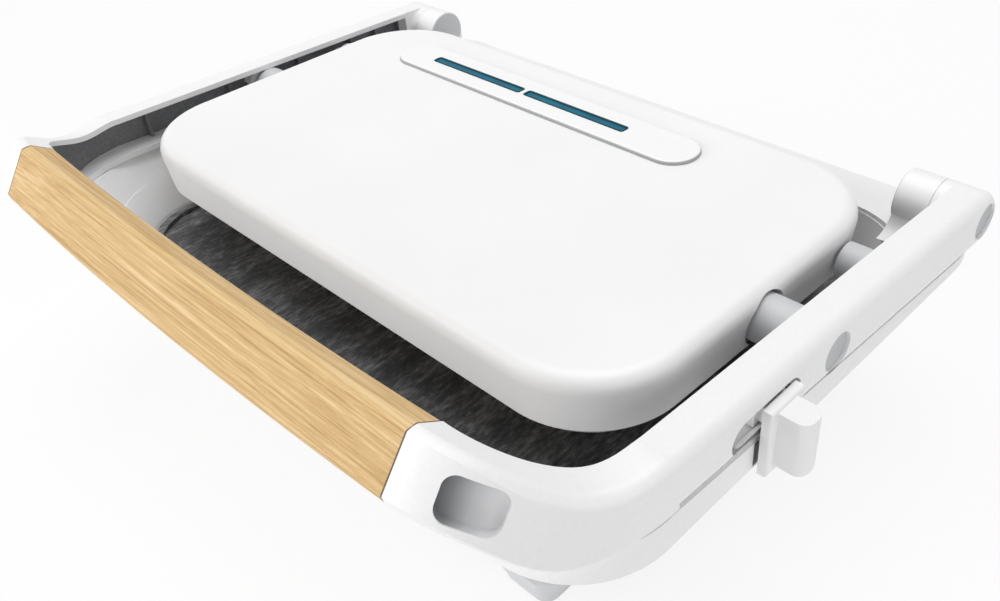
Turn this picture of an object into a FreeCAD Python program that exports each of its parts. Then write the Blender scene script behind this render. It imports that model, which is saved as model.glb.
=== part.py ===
import FreeCAD, Part
import Sketcher
import math
import os

# Electric table grill: a base with a flat lower plate, a carrying frame with a wooden
# grip that is hinged at the rear, and a lid that rocks between the arms of the frame.
# Axes: X to the right, Y to the back, Z up, zero on the table below the middle.

V = FreeCAD.Vector
doc = FreeCAD.newDocument("Grill")
sheet = doc.addObject("Spreadsheet::Sheet", "Sizes")

SIZES = [
    # base
    ("base_width", 347), ("base_front", 110), ("base_back", 147), ("base_corner", 38),
    ("foot_tall", 13), ("belt_low", 82), ("shell_wall", 2.8),
    ("floor_width", 277), ("floor_front", 76), ("floor_back", 131), ("floor_corner", 44),
    ("well_width", 330), ("well_front", 101), ("well_back", 122), ("well_corner", 40),
    # plates
    ("plate_width", 293), ("plate_front", 88), ("plate_back", 121), ("plate_corner", 34),
    ("plate_low", 61), ("plate_tall", 8), ("plate_rim", 4), ("plate_sunk", 2.2),
    # hinge line, rocker line and frame
    ("hub_back", 124.7), ("hub_up", 97.6), ("hub_round", 11.4), ("pin_round", 5),
    ("rock_back", 16.3), ("rock_up", 102.9), ("arm_inner", 160.4), ("arm_outer", 175),
    ("arm_rise", 0.055), ("arm_taper", 0.062), ("arm_wall", 2.6), ("arm_shoulder", 5),
    ("bend_ahead", 193.7), ("ear_inner", 142), ("ear_outer", 155.8), ("recess_round", 7.6),
    # grip: its corners as distances ahead of the bend's centre, and heights above the hinge
    ("grip_half", 125), ("grip_bow", 3), ("inner_out", 42.6), ("inner_up", 37.9),
    ("crest_out", 50.9), ("crest_up", 43.4), ("edge_out", 54.8), ("edge_up", 43.3),
    ("nose_out", 67.1), ("nose_up", 27.4), ("heel_out", 66.5), ("heel_up", 24.4),
    ("under_out", 48), ("under_up", 22),
    # thumb scoop on the front of each bend
    ("scoop_long", 19.6), ("scoop_tall", 14.8), ("scoop_corner", 4.5), ("scoop_deep", 6),
    # lid
    ("lid_width", 296), ("lid_depth", 177), ("lid_top", 13.8), ("lid_tall", 22.8),
    ("lid_corner", 40), ("lid_edge", 6), ("lid_draft", 7), ("lid_lean", 1.9),
    ("lid_wall", 2.6), ("rocker_round", 9.5), ("rocker_hole", 11), ("stub_round", 7.5),
    ("stub_back", 50), ("stub_down", 4.5),
    # strip with lamps
    ("strip_left", 109.5), ("strip_right", 75), ("strip_mid", 54.5), ("strip_deep", 24),
    ("strip_tall", 1.8), ("lens_long", 61), ("lens_wide", 5.6), ("lens_gap", 2.4),
    ("lens_mid", 24.5),
    # side lock
    ("lock_front", 28), ("lock_back", 10.5), ("lock_travel", 9),
    # drip tray
    ("tray_half", 60), ("tray_front", 52), ("tray_up", 16.6), ("tray_tall", 16),
    # middle of the whole outline, lock and tray included, which is moved to zero
    ("middle_x", 7.2), ("middle_y", 6.45),
    # fits
    ("running", 0.1), ("slack", 0.4),
]
VAL = {}
for row, (name, number) in enumerate(SIZES, 1):
    sheet.set("A%d" % row, name)
    sheet.set("B%d" % row, str(number))
    sheet.setAlias("B%d" % row, name)
    VAL[name] = float(number)
doc.recompute()


class Named:
    pass


n = Named()
n.__dict__.update(VAL)
S = "Sizes."


# Helpers

def bind(obj, **links):
    for prop, text in links.items():
        obj.setExpression(prop.replace("__", "."), text)


def body(label):
    b = doc.addObject("PartDesign::Body", label)
    b.Label = label
    return b


def plane_of(b, role):
    for feature in b.Origin.OriginFeatures:
        if feature.Role == role:
            return feature
    return None


def new_sketch(b, role, name, lift=None):
    sk = b.newObject("Sketcher::SketchObject", name)
    sk.AttachmentSupport = [(plane_of(b, role), "")]
    sk.MapMode = "FlatFace"
    if lift is not None:
        sk.setExpression(".AttachmentOffset.Base.z", lift)
    return sk


def name_it(sk, index, name, text):
    sk.renameConstraint(index, name)
    sk.setExpression("Constraints." + name, text)


def rounded(sk, wide, deep, rad, mid_x, mid_y, expr):
    """Rounded rectangle, counter-clockwise. expr holds texts for the five sizes."""
    hw = wide / 2.0
    hd = deep / 2.0
    lines = [((-hw + rad, -hd), (hw - rad, -hd)), ((hw, -hd + rad), (hw, hd - rad)),
             ((hw - rad, hd), (-hw + rad, hd)), ((-hw, hd - rad), (-hw, -hd + rad))]
    heart = [(hw - rad, -hd + rad), (hw - rad, hd - rad), (-hw + rad, hd - rad),
             (-hw + rad, -hd + rad)]
    first = None
    for k in range(4):
        (ax, ay), (bx, by) = lines[k]
        g = sk.addGeometry(Part.LineSegment(V(ax + mid_x, ay + mid_y, 0),
                                            V(bx + mid_x, by + mid_y, 0)))
        cx, cy = heart[k]
        ring = Part.Circle(V(cx + mid_x, cy + mid_y, 0), V(0, 0, 1), rad)
        turn = math.pi / 2
        sk.addGeometry(Part.ArcOfCircle(ring, (k - 1) * turn, k * turn))
        if first is None:
            first = g
    f = first
    for k in range(8):
        sk.addConstraint(Sketcher.Constraint("Tangent", f + k, 2, f + (k + 1) % 8, 1))
    sk.addConstraint(Sketcher.Constraint("Horizontal", f))
    sk.addConstraint(Sketcher.Constraint("Horizontal", f + 4))
    sk.addConstraint(Sketcher.Constraint("Vertical", f + 2))
    sk.addConstraint(Sketcher.Constraint("Vertical", f + 6))
    for k in (3, 5, 7):
        sk.addConstraint(Sketcher.Constraint("Equal", f + 1, f + k))
    tag = "s%d" % f
    i = sk.addConstraint(Sketcher.Constraint("Radius", f + 1, rad))
    name_it(sk, i, "rad" + tag, expr["rad"])
    i = sk.addConstraint(Sketcher.Constraint("DistanceX", f + 7, 3, f + 1, 3, wide - 2 * rad))
    name_it(sk, i, "wide" + tag, "(%s) - 2 * (%s)" % (expr["wide"], expr["rad"]))
    i = sk.addConstraint(Sketcher.Constraint("DistanceY", f + 1, 3, f + 3, 3, deep - 2 * rad))
    name_it(sk, i, "deep" + tag, "(%s) - 2 * (%s)" % (expr["deep"], expr["rad"]))
    # The right front corner carries the place of the outline
    i = sk.addConstraint(Sketcher.Constraint("DistanceX", -1, 1, f + 1, 3, mid_x + hw - rad))
    name_it(sk, i, "right" + tag, "(%s) / 2 - (%s) + (%s)" % (expr["wide"], expr["rad"],
                                                            expr.get("mid_x", "0")))
    i = sk.addConstraint(Sketcher.Constraint("DistanceY", f + 1, 3, -1, 1,
                                             -(mid_y - hd + rad)))
    name_it(sk, i, "front" + tag, "(%s) / 2 - (%s) - (%s)" % (expr["deep"], expr["rad"],
                                                            expr.get("mid_y", "0")))


def outline(sk, wide, deep, rad, mid_y="0", grow="0", mid_x="0"):
    """Rounded rectangle whose sizes are expressions over the sheet."""
    def value(text):
        out = text
        for key in sorted(VAL, key=len, reverse=True):
            out = out.replace(S + key, repr(VAL[key]))
        return float(safe(out))
    w = "(%s) + 2 * (%s)" % (wide, grow)
    d = "(%s) + 2 * (%s)" % (deep, grow)
    r = "(%s) + (%s)" % (rad, grow)
    rounded(sk, value(w), value(d), value(r), value(mid_x), value(mid_y),
            {"wide": w, "deep": d, "rad": r, "mid_y": mid_y, "mid_x": mid_x})


def safe(text):
    """Value of a plain sum, worked out by the sheet itself."""
    sheet.set("D1", "=" + text)
    sheet.recompute()
    return float(sheet.get("D1"))


def pad(b, sk, length, draft=None, down=False, name="Pad"):
    p = b.newObject("PartDesign::Pad", name)
    p.Profile = sk
    p.setExpression("Length", length)
    p.Reversed = down
    if draft:
        p.setExpression("TaperAngle", draft)
    sk.Visibility = False
    doc.recompute()
    return p


def pocket(b, sk, length=None, through=False, down=True, draft=None, name="Pocket"):
    p = b.newObject("PartDesign::Pocket", name)
    p.Profile = sk
    if through:
        p.Type = "ThroughAll"
        p.Midplane = True
    else:
        p.setExpression("Length", length)
        p.Reversed = not down
    if draft:
        p.setExpression("TaperAngle", draft)
    doc.recompute()
    return p


def fillet(b, base, size, choose, name="Fillet"):
    f = b.newObject("PartDesign::Fillet", name)
    picks = []
    for k, edge in enumerate(base.Shape.Edges, 1):
        if choose(edge):
            picks.append("Edge%d" % k)
    f.Base = (base, picks)
    f.setExpression("Radius", size)
    doc.recompute()
    return f


def circle(sk, x, y, rad, ex, ey, er):
    g = sk.addGeometry(Part.Circle(V(x, y, 0), V(0, 0, 1), rad))
    i = sk.addConstraint(Sketcher.Constraint("Radius", g, rad))
    name_it(sk, i, "rad%d" % g, er)
    for axis, value, text in (("X", x, ex), ("Y", y, ey)):
        if abs(value) < 1e-9:
            kind = "PointOnObject"
            sk.addConstraint(Sketcher.Constraint(kind, g, 3, -2 if axis == "X" else -1))
        elif value > 0:
            i = sk.addConstraint(Sketcher.Constraint("Distance" + axis, -1, 1, g, 3, value))
            name_it(sk, i, "at%s%d" % (axis, g), text)
        else:
            i = sk.addConstraint(Sketcher.Constraint("Distance" + axis, g, 3, -1, 1, -value))
            name_it(sk, i, "at%s%d" % (axis, g), "-(%s)" % text)


def polygon(sk, points):
    """Closed outline through points, held by its own coordinates."""
    count = len(points)
    first = None
    for k in range(count):
        ax, ay = points[k]
        bx, by = points[(k + 1) % count]
        g = sk.addGeometry(Part.LineSegment(V(ax, ay, 0), V(bx, by, 0)))
        if first is None:
            first = g
    for k in range(count):
        sk.addConstraint(Sketcher.Constraint("Coincident", first + k, 2,
                                             first + (k + 1) % count, 1))
    for k in range(count):
        x, y = points[k]
        sk.addConstraint(Sketcher.Constraint("DistanceX", -1, 1, first + k, 1, x))
        sk.addConstraint(Sketcher.Constraint("DistanceY", -1, 1, first + k, 1, y))
    return first


def prim(kind, name, place=(0, 0, 0), turn=None, links=None, **sizes):
    obj = doc.addObject("Part::" + kind, name)
    for key, value in sizes.items():
        setattr(obj, key, value)
    if links:
        for key, text in links.items():
            obj.setExpression(key, text)
    rot = FreeCAD.Rotation()
    if turn:
        rot = FreeCAD.Rotation(V(*turn[0]), turn[1])
    obj.Placement = FreeCAD.Placement(V(*place), rot)
    return obj


ALONG_X = ((0, 1, 0), 90)
ALONG_Y = ((1, 0, 0), -90)


def block(name, x0, x1, y0, y1, z0, z1, **links):
    return prim("Box", name, (x0, y0, z0), Length=x1 - x0, Width=y1 - y0, Height=z1 - z0,
                links=links or None)


def rod_x(name, x0, x1, y, z, rad, link=None):
    links = {"Radius": link} if link else None
    return prim("Cylinder", name, (x0, y, z), ALONG_X, links, Radius=rad, Height=x1 - x0)


def rod_z(name, x, y, z0, z1, rad):
    return prim("Cylinder", name, (x, y, z0), None, None, Radius=rad, Height=z1 - z0)


def fuse(name, *objs):
    obj = doc.addObject("Part::MultiFuse", name)
    obj.Shapes = list(objs)
    obj.Refine = True
    return obj


def cut(name, base, *tools):
    tool = tools[0] if len(tools) == 1 else fuse(name + "_tools", *tools)
    obj = doc.addObject("Part::Cut", name)
    obj.Base = base
    obj.Tool = tool
    obj.Refine = True
    return obj


def rounded_block(name, base, size, choose):
    doc.recompute()
    obj = doc.addObject("Part::Fillet", name)
    obj.Base = base
    obj.Edges = [(k, size, size) for k, e in enumerate(base.Shape.Edges, 1) if choose(e)]
    return obj


def mirrored(name, source):
    obj = doc.addObject("Part::Mirroring", name)
    obj.Source = source
    obj.Normal = V(1, 0, 0)
    obj.Base = V(0, 0, 0)
    obj.Label = name
    return obj


def upright(e):
    d = e.tangentAt(e.FirstParameter)
    return abs(d.z) > 0.99


def flat_at(z):
    def test(e):
        return abs(e.BoundBox.ZMin - z) < 1e-4 and abs(e.BoundBox.ZMax - z) < 1e-4
    return test


NODES = []


def node(obj, label, place=(0, 0, 0), lean=0):
    """Sub-part: its name, and its place in the frame whose zero is the outline's middle."""
    obj.Label = label
    rot = FreeCAD.Rotation(V(1, 0, 0), lean)
    spot = V(*place) - V(n.middle_x, n.middle_y, 0)
    obj.Placement = FreeCAD.Placement(spot, rot).multiply(obj.Placement)
    NODES.append(obj)
    return obj


AT_HUB = (0, n.hub_back, n.hub_up)
AT_ROCK = (0, n.rock_back, n.rock_up)

BELT_HIGH = ("(" + S + "hub_up - " + S + "hub_round - " + S + "slack + " + S + "arm_taper * " +
             S + "bend_ahead)")
BASE_DEEP = S + "base_front + " + S + "base_back"
BASE_MID = "(" + S + "base_back - " + S + "base_front) / 2"
FLOOR_DEEP = S + "floor_front + " + S + "floor_back"
FLOOR_MID = "(" + S + "floor_back - " + S + "floor_front) / 2"
WELL_DEEP = S + "well_front + " + S + "well_back"
WELL_MID = "(" + S + "well_back - " + S + "well_front) / 2"
PLATE_DEEP = S + "plate_front + " + S + "plate_back"
PLATE_MID = "(" + S + "plate_back - " + S + "plate_front) / 2"


def loft(b, kind, sketches, name):
    f = b.newObject("PartDesign::" + kind, name)
    f.Profile = sketches[0]
    f.Sections = [(s, "") for s in sketches[1:]]
    f.Ruled = True
    doc.recompute()
    return f


# Lower shell: a bowl that widens up to the belt line
shell = body("lower_housing")
low = new_sketch(shell, "XY_Plane", "shell_floor", S + "foot_tall")
outline(low, S + "floor_width", FLOOR_DEEP, S + "floor_corner", FLOOR_MID)
top = new_sketch(shell, "XY_Plane", "shell_belt", S + "belt_low")
outline(top, S + "base_width", BASE_DEEP, S + "base_corner", BASE_MID)
loft(shell, "AdditiveLoft", [low, top], "shell_outside")
inner_low = new_sketch(shell, "XY_Plane", "shell_inner_floor",
                       S + "foot_tall + " + S + "shell_wall")
outline(inner_low, S + "floor_width", FLOOR_DEEP, S + "floor_corner", FLOOR_MID,
        "-1.1 * " + S + "shell_wall")
inner_top = new_sketch(shell, "XY_Plane", "shell_inner_belt", S + "belt_low")
outline(inner_top, S + "base_width", BASE_DEEP, S + "base_corner", BASE_MID,
        "-1.2 * " + S + "shell_wall")
hollow = loft(shell, "SubtractiveLoft", [inner_low, inner_top], "shell_inside")
hatch = new_sketch(shell, "XY_Plane", "hatch_hole", S + "foot_tall - 1")
outline(hatch, "186", "124", "12", "18")
pocket(shell, hatch, "6", down=False, name="hatch_cut")
tray_door = new_sketch(shell, "XZ_Plane", "tray_door", "-" + S + "base_back - 3")
outline(tray_door, "2 * " + S + "tray_half + 1", S + "tray_tall + 1", "0.3",
        S + "tray_up + " + S + "tray_tall / 2")
pocket(shell, tray_door, "40", down=False, name="tray_door_cut")
gland_door = new_sketch(shell, "XZ_Plane", "gland_door", "-" + S + "base_back - 3")
circle(gland_door, -96, 26, 7.05, "-96", "26", "7.05")
pocket(shell, gland_door, "40", down=False, name="gland_door_cut")
doc.recompute()
node(shell, "lower_housing")

# Upper rim of the base: a belt below the arms and a funnel down to the plate
rim = body("base_rim")
sk = new_sketch(rim, "XY_Plane", "rim_outline", S + "belt_low")
outline(sk, S + "base_width", BASE_DEEP, S + "base_corner", BASE_MID)
pad(rim, sk, BELT_HIGH + " - " + S + "belt_low", name="rim_belt")
sk = new_sketch(rim, "XY_Plane", "rim_collar_outline", S + "belt_low")
outline(sk, "308", "224", "40", "19")
pad(rim, sk, "20", down=True, name="rim_collar")
well_top = new_sketch(rim, "XY_Plane", "well_top", BELT_HIGH)
outline(well_top, S + "well_width", WELL_DEEP, S + "well_corner", WELL_MID)
well_low = new_sketch(rim, "XY_Plane", "well_low", S + "plate_low + " + S + "plate_tall - 2")
outline(well_low, S + "plate_width + 2 * " + S + "slack", PLATE_DEEP + " + 2 * " + S + "slack",
        S + "plate_corner + " + S + "slack", PLATE_MID)
loft(rim, "SubtractiveLoft", [well_top, well_low], "rim_funnel")
sk = new_sketch(rim, "XY_Plane", "rim_throat", S + "plate_low + " + S + "plate_tall - 2")
outline(sk, S + "plate_width + 2 * " + S + "slack", PLATE_DEEP + " + 2 * " + S + "slack",
        S + "plate_corner + " + S + "slack", PLATE_MID)
pocket(rim, sk, "30", name="rim_throat_cut")
# Shelves in the rear corners of the funnel, below the ears
sk = new_sketch(rim, "XY_Plane", "ear_shelves", S + "belt_low")
for side in (-1, 1):
    rounded(sk, 13.6, 26, 1, side * 150.3, 117.7, {"wide": "13.6", "deep": "26", "rad": "1",
            "mid_x": str(side) + " * (" + S + "ear_outer - 5.5)", "mid_y": S + "hub_back - 7"})
pad(rim, sk, BELT_HIGH + " - " + S + "belt_low", name="ear_shelf_pads")
# The belt is highest at the front, just below the arms
EDGE_UP = n.hub_up - n.hub_round - n.slack
front_z = EDGE_UP + n.arm_taper * (n.hub_back + 140)
back_z = EDGE_UP + n.arm_taper * (n.hub_back - 170)
sk = new_sketch(rim, "YZ_Plane", "rim_slope")
polygon(sk, [(-140, front_z), (170, back_z), (170, 130), (-140, 130)])
pocket(rim, sk, through=True, name="rim_slope_cut")
# Niche in the right side for the tongue of the lock: open above at the back, and below a
# lip at the front, where the tongue slides to hold the frame down
sk = new_sketch(rim, "XY_Plane", "lock_niche_open", S + "belt_low + 1")
rounded(sk, 16, 11.2, 1, 173, -14.1, {"wide": "16", "deep": "11.2", "rad": "1",
                                      "mid_x": "173", "mid_y": "-14.1"})
pocket(rim, sk, "40", down=False, name="lock_niche_open_cut")
sk = new_sketch(rim, "XY_Plane", "lock_niche_lip", S + "belt_low + 1")
rounded(sk, 16, 9.3, 1, 173, -23.65, {"wide": "16", "deep": "9.3", "rad": "1",
                                      "mid_x": "173", "mid_y": "-23.65"})
pocket(rim, sk, "10.4", down=False, name="lock_niche_lip_cut")
doc.recompute()
node(rim, "base_rim")

# Lower plate with a low rim and a grease slot at the back
plate = body("lower_plate")
sk = new_sketch(plate, "XY_Plane", "plate_outline", S + "plate_low")
outline(sk, S + "plate_width", PLATE_DEEP, S + "plate_corner", PLATE_MID)
slab = pad(plate, sk, S + "plate_tall", name="plate_slab")
sk = new_sketch(plate, "XY_Plane", "plate_floor", S + "plate_low + " + S + "plate_tall")
outline(sk, S + "plate_width", PLATE_DEEP, S + "plate_corner", PLATE_MID,
        "-1 * " + S + "plate_rim")
pocket(plate, sk, S + "plate_sunk", draft="8", name="plate_floor_cut")
sk = new_sketch(plate, "XY_Plane", "grease_slot", S + "plate_low - 5")
outline(sk, "60", "7", "3.4", S + "plate_back - 12")
pocket(plate, sk, "30", down=False, name="grease_slot_cut")
doc.recompute()
node(plate, "lower_plate")

# Heating element bars, bent once at each end, drawn along their own centre line
def heater(label, half, deep, lift, lean_to, mid):
    b = body(label)
    path = new_sketch(b, "XY_Plane", label + "_path", str(lift))
    r = 20.0
    hd = deep / 2.0
    pts = [((-half, mid - hd), (half - r, mid - hd)), ((half, mid - hd + r), (half, mid + hd - r)),
           ((half - r, mid + hd), (-half, mid + hd))]
    g0 = path.addGeometry(Part.LineSegment(V(*pts[0][0], 0), V(*pts[0][1], 0)))
    path.addGeometry(Part.ArcOfCircle(Part.Circle(V(half - r, mid - hd + r, 0), V(0, 0, 1), r),
                                      -math.pi / 2, 0))
    path.addGeometry(Part.LineSegment(V(*pts[1][0], 0), V(*pts[1][1], 0)))
    path.addGeometry(Part.ArcOfCircle(Part.Circle(V(half - r, mid + hd - r, 0), V(0, 0, 1), r),
                                      0, math.pi / 2))
    path.addGeometry(Part.LineSegment(V(*pts[2][0], 0), V(*pts[2][1], 0)))
    for k in range(4):
        path.addConstraint(Sketcher.Constraint("Tangent", g0 + k, 2, g0 + k + 1, 1))
    ring = new_sketch(b, "YZ_Plane", label + "_ring", str(-half))
    circle(ring, mid - hd, lift, 3.2, str(mid - hd), str(lift), "3.2")
    pipe = b.newObject("PartDesign::AdditivePipe", label + "_pipe")
    pipe.Profile = ring
    pipe.Spine = (path, [])
    doc.recompute()
    return b


node(heater("lower_heater", 118, 120, n.plate_low - 3.3, 0, 16), "lower_heater")

tray = prim("Box", "reflector_box", (-132, -62, 50), Length=264, Width=152, Height=3.4)
hole = prim("Box", "reflector_room", (-131, -61, 50.8), Length=262, Width=150, Height=4)
posts = [rod_z("reflector_post_%d" % k, x, y, 50.4, n.plate_low, 3)
         for k, (x, y) in enumerate(((-126, -56), (126, -56), (-126, 84), (126, 84)))]
node(fuse("lower_reflector", cut("reflector_tray", tray, hole), *posts), "lower_reflector")

# Floor hatch with cooling slots, on the outside of the floor
hatch = body("bottom_cover")
sk = new_sketch(hatch, "XY_Plane", "cover_outline", S + "foot_tall - 2.2")
outline(sk, "200", "138", "16", "18")
pad(hatch, sk, "2.2", name="cover_plate")
sk = new_sketch(hatch, "XY_Plane", "cover_slot", S + "foot_tall - 4")
rounded(sk, 60, 4, 1.9, -60, -30, {"wide": "60", "deep": "4", "rad": "1.9", "mid_x": "-60",
                                   "mid_y": "-30"})
slot = pocket(hatch, sk, "8", down=False, name="cover_slot_cut")
rows = hatch.newObject("PartDesign::LinearPattern", "cover_slots")
rows.Originals = [slot]
rows.Direction = (plane_of(hatch, "Y_Axis"), [""])
rows.Length = 96
rows.Occurrences = 9
hatch.Tip = rows
doc.recompute()
node(hatch, "bottom_cover")

# Feet: tapered blocks with rounded corners and rubber pads. They run up past the edge of the
# floor and lie against the wall of the shell.
wall = body("shell_solid")
sk = new_sketch(wall, "XY_Plane", "wall_floor", S + "foot_tall")
outline(sk, S + "floor_width", FLOOR_DEEP, S + "floor_corner", FLOOR_MID, "0.05")
sk2 = new_sketch(wall, "XY_Plane", "wall_belt", S + "belt_low")
outline(sk2, S + "base_width", BASE_DEEP, S + "base_corner", BASE_MID, "0.05")
loft(wall, "AdditiveLoft", [sk, sk2], "wall_loft")
FOOT_X = 106
FEET = (("front_left", -1, -64), ("front_right", 1, -64), ("back_left", -1, 112),
        ("back_right", 1, 112))
for tag, side, y in FEET:
    foot = body("foot_block_" + tag)
    sk = new_sketch(foot, "XY_Plane", "foot_low_" + tag, "1.5")
    rounded(sk, 25, 19, 6, side * FOOT_X, y, {"wide": "25", "deep": "19", "rad": "6",
                                              "mid_x": str(side * FOOT_X), "mid_y": str(y)})
    sk2 = new_sketch(foot, "XY_Plane", "foot_top_" + tag, S + "foot_tall + 8")
    rounded(sk2, 36, 30, 8, side * FOOT_X, y, {"wide": "36", "deep": "30", "rad": "8",
                                               "mid_x": str(side * FOOT_X), "mid_y": str(y)})
    loft(foot, "AdditiveLoft", [sk, sk2], "foot_loft_" + tag)
    node(cut("foot_" + tag, foot, wall), "foot_" + tag)
    pad_ = prim("Cylinder", "pad_" + tag, (side * FOOT_X, y, 0), Radius=6.5, Height=1.5)
    node(pad_, "foot_pad_" + tag)

# Ears that carry the hinge pins, with a hollow front flank
def ear_outline(sk):
    back = n.hub_back
    up = n.hub_up
    r = n.hub_round
    low = EDGE_UP + n.arm_taper * (n.hub_back - (back + r))
    foot = EDGE_UP + n.arm_taper * (n.hub_back - (back - 21))
    a = math.radians(200)
    px = back + r * math.cos(a)
    pz = up + r * math.sin(a)
    hollow = Part.Arc(V(px, pz, 0), V(px - 2.8, foot + 2.6, 0), V(back - 21, foot, 0))
    sk.addGeometry(hollow)
    sk.addGeometry(Part.LineSegment(V(back - 21, foot, 0), V(back + r, low, 0)))
    sk.addGeometry(Part.LineSegment(V(back + r, low, 0), V(back + r, up, 0)))
    sk.addGeometry(Part.Arc(V(back + r, up, 0), V(back, up + r, 0), V(px, pz, 0)))


for tag, side in (("left", -1), ("right", 1)):
    ear = body("ear_" + tag)
    start = S + "ear_inner" if side > 0 else "-" + S + "ear_outer"
    sk = new_sketch(ear, "YZ_Plane", "ear_outline_" + tag, start)
    ear_outline(sk)
    pad(ear, sk, S + "ear_outer - " + S + "ear_inner", name="ear_pad_" + tag)
    sk = new_sketch(ear, "YZ_Plane", "ear_bore_" + tag, start)
    circle(sk, n.hub_back, n.hub_up, n.pin_round + 0.05, S + "hub_back", S + "hub_up",
           S + "pin_round + " + S + "running / 2")
    pocket(ear, sk, through=True, name="ear_bore_cut_" + tag)
    node(ear, "ear_" + tag)
    # Hinge pin: shank through ear and arm, washer-faced head in the arm's recess
    x0 = n.ear_inner - 4
    shank = rod_x("shank_" + tag, side * x0 if side > 0 else -(n.arm_outer - 4.4),
                  side * (n.arm_outer - 4.4) if side > 0 else -x0, n.hub_back, n.hub_up,
                  n.pin_round, S + "pin_round")
    h0 = n.arm_outer - 4.4
    h1 = n.arm_outer - 2.2
    head = rod_x("head_" + tag, h0 if side > 0 else -h1, h1 if side > 0 else -h0, n.hub_back,
                 n.hub_up, 7.0)
    ring0 = n.ear_inner - 3.4
    ring1 = n.ear_inner - 0.2
    clip = rod_x("clip_" + tag, ring0 if side > 0 else -ring1, ring1 if side > 0 else -ring0,
                 n.hub_back, n.hub_up, 7.0)
    node(fuse("hinge_pin_" + tag, shank, head, clip), "hinge_pin_" + tag)

# Works below the plate
block_t = block("thermo_body", -20, 20, -8, 18, 37, 50)
knob = rod_z("thermo_sensor", 0, 5, 30, 37, 5)
node(fuse("thermostat", block_t, knob), "thermostat")
fuse_tube = rod_x("fuse_tube", 30, 60, 22, 45.5, 3.4)
fuse_clip = block("fuse_clip", 40, 50, 18, 26, 45, 50)
node(fuse("thermal_fuse", fuse_tube, fuse_clip), "thermal_fuse")
node(block("terminals", -91, -66.5, 46, 60, n.foot_tall, 27), "terminal_block")
gland_a = prim("Cylinder", "gland_tube", (-96, 124, 26), ALONG_Y, Radius=7, Height=18)
gland_b = prim("Cylinder", "gland_hole", (-96, 117, 26), ALONG_Y, Radius=3.3, Height=40)
gland_c = prim("Cylinder", "gland_flange", (-96, 136.9, 26), ALONG_Y, Radius=9.5, Height=2.4)
gland_d = prim("Cylinder", "gland_nut", (-96, 124.4, 26), ALONG_Y, Radius=9.5, Height=3.6)
node(cut("cord_inlet", fuse("gland_all", gland_a, gland_c, gland_d), gland_b), "cord_inlet")

# Drip tray, a small drawer in the back wall, and the chute above it
dt = body("drip_tray")
sk = new_sketch(dt, "XY_Plane", "tray_outline", S + "tray_up")
rounded(sk, 2 * n.tray_half, 100, 6, 0, n.tray_front + 50,
        {"wide": "2 * " + S + "tray_half", "deep": "100", "rad": "6",
         "mid_y": S + "tray_front + 50"})
pad(dt, sk, S + "tray_tall", name="tray_block")
sk = new_sketch(dt, "XY_Plane", "tray_room", S + "tray_up + " + S + "tray_tall")
rounded(sk, 2 * n.tray_half - 4, 90, 5, 0, n.tray_front + 47,
        {"wide": "2 * " + S + "tray_half - 4", "deep": "90", "rad": "5",
         "mid_y": S + "tray_front + 47"})
pocket(dt, sk, S + "tray_tall - 1.8", name="tray_room_cut")
doc.recompute()
node(dt, "drip_tray")
rail_l = block("rail_left_wall", -64.5, -61, 50, 122, 15.81, 34)
rail_r = block("rail_right_wall", 61, 64.5, 50, 122, 15.81, 34)
rail_b = block("rail_front_wall", -64.5, 64.5, 46, 50, 15.81, 34)
node(fuse("tray_guide", rail_l, rail_r, rail_b), "tray_guide")
chute_o = block("chute_outer", -34, 34, 98, 112, 36, n.plate_low - 0.01)
chute_i = block("chute_inner", -32.4, 32.4, 99.6, 110.4, 30, 70)
node(cut("grease_chute", chute_o, chute_i), "grease_chute")

# Frame side: a hollow arm open to the inside, and a solid bend that climbs to the grip
SLOPE = n.arm_rise
TAPER = n.arm_taper
AHEAD = n.bend_ahead
TOP_END = n.hub_round + SLOPE * AHEAD
LOW_END = -n.hub_round + TAPER * AHEAD
ROCK_Y = n.rock_back - n.hub_back
ROCK_Z = n.rock_up - n.hub_up


def arm_outline(sk):
    r = n.hub_round
    sk.addGeometry(Part.LineSegment(V(0, r, 0), V(-AHEAD, TOP_END, 0)))
    sk.addGeometry(Part.LineSegment(V(-AHEAD, TOP_END, 0), V(-AHEAD, LOW_END, 0)))
    sk.addGeometry(Part.LineSegment(V(-AHEAD, LOW_END, 0), V(0, -r, 0)))
    sk.addGeometry(Part.Arc(V(0, -r, 0), V(r, 0, 0), V(0, r, 0)))
    for k in range(4):
        sk.addConstraint(Sketcher.Constraint("Coincident", k, 2, (k + 1) % 4, 1))


def long_top_outer(e):
    box = e.BoundBox
    return box.XMin > n.arm_outer - 0.01 and box.YLength > 150 and box.ZMax > 12


arm = body("arm_blank")
sk = new_sketch(arm, "YZ_Plane", "arm_side", S + "arm_inner")
arm_outline(sk)
last = pad(arm, sk, S + "arm_outer - " + S + "arm_inner", name="arm_bar")
last = fillet(arm, last, S + "arm_shoulder", long_top_outer, "arm_shoulder_round")
w = n.arm_wall
y0 = -AHEAD - 2
y1 = -14
sk = new_sketch(arm, "YZ_Plane", "arm_channel", S + "arm_inner - 1")
polygon(sk, [(y0, -n.hub_round - TAPER * y0 + w), (y1, -n.hub_round - TAPER * y1 + w),
             (y1, n.hub_round - SLOPE * y1 - w), (y0, n.hub_round - SLOPE * y0 - w)])
pocket(arm, sk, S + "arm_outer - " + S + "arm_inner + 1 - " + S + "arm_wall", down=False,
       name="arm_channel_cut")
doc.recompute()

# The bend turns from the arm to the grip about one upright axis. Seen from above its edges
# are quarter ellipses, and seen from the side they climb along a smooth step.
ARM_OUT = n.arm_outer - n.grip_half
ARM_IN = n.arm_inner - n.grip_half


def reach(side, front, angle):
    """Distance from the bend's axis on a quarter ellipse from side to front."""
    p = math.radians(angle)
    return side * front / math.hypot(front * math.cos(p), side * math.sin(p))


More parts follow.
